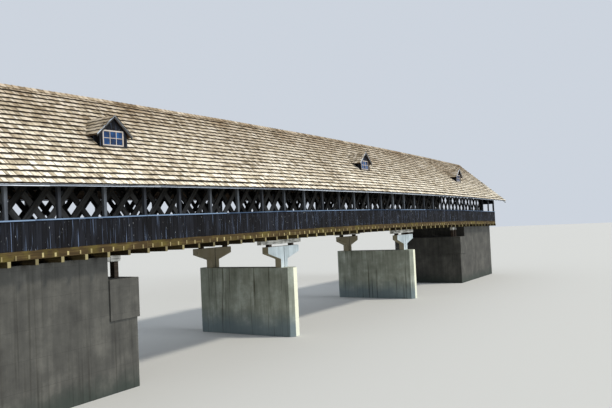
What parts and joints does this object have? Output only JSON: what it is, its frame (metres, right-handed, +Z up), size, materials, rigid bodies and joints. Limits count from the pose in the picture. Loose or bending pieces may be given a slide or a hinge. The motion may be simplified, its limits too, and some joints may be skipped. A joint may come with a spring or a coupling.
{
  "type": "covered bridge, half-size model",
  "caption": "Half-size model of a long covered timber bridge: lattice trusses, boarded outside walkways, shake gable roof with dormers, on concrete piers and abutments.",
  "frame": {"origin": "middle of the bridge in plan, on the level where the piers and abutments meet the water and ground", "axes": "+X along the bridge, +Y across it, +Z up"},
  "size_m": [38.04, 5.83, 7.471],
  "materials": {
    "dark_timber": "weathered, creosote dark",
    "siding": "weathered vertical boards",
    "rail_cap": "weathered, light edge",
    "shakes": "weathered split shakes",
    "trim": "pale painted boards, worn",
    "floor_timber": "treated timber, yellow-brown",
    "weathered_timber": "grey-white weathered timber",
    "concrete": "cast concrete, streaked",
    "pale_concrete": "cast concrete",
    "glass": "clear, reflecting the sky"
  },
  "bodies": {
    "root": {"abutment_east": "concrete", "abutment_west": "concrete", "barge_boards_far": "trim", "barge_boards_near": "trim", "bearing_blocks": "dark_timber", "bolsters": "weathered_timber", "dormer_glass": "glass", "dormer_roofs": "shakes", "dormer_sashes": "trim", "dormer_walls": "siding", "eave_fascias": "trim", "eave_plates": "dark_timber", "edge_stringers": "floor_timber", "floor_beams": "floor_timber", "floor_joists": "floor_timber", "lattice_far_east": "dark_timber", "lattice_far_middle": "dark_timber", "lattice_far_west": "dark_timber", "lattice_near_east": "dark_timber", "lattice_near_middle": "dark_timber", "lattice_near_west": "dark_timber", "lower_chords_far": "dark_timber", "lower_chords_near": "dark_timber", "pier_heads_east": "pale_concrete", "pier_heads_west": "pale_concrete", "pier_wall_east": "concrete", "pier_wall_west": "concrete", "portal_east": "dark_timber", "portal_west": "dark_timber", "posts_far": "dark_timber", "posts_near": "dark_timber", "rafters_far": "dark_timber", "rafters_near": "dark_timber", "rail_caps": "rail_cap", "rail_siding_far": "siding", "rail_siding_near": "siding", "ridge_cap": "shakes", "road_deck": "floor_timber", "roof_far": "shakes", "roof_near": "shakes", "tie_beams": "dark_timber", "upper_chords_far": "dark_timber", "upper_chords_near": "dark_timber", "walkway_decks": "floor_timber"}
  },
  "joints": []
}
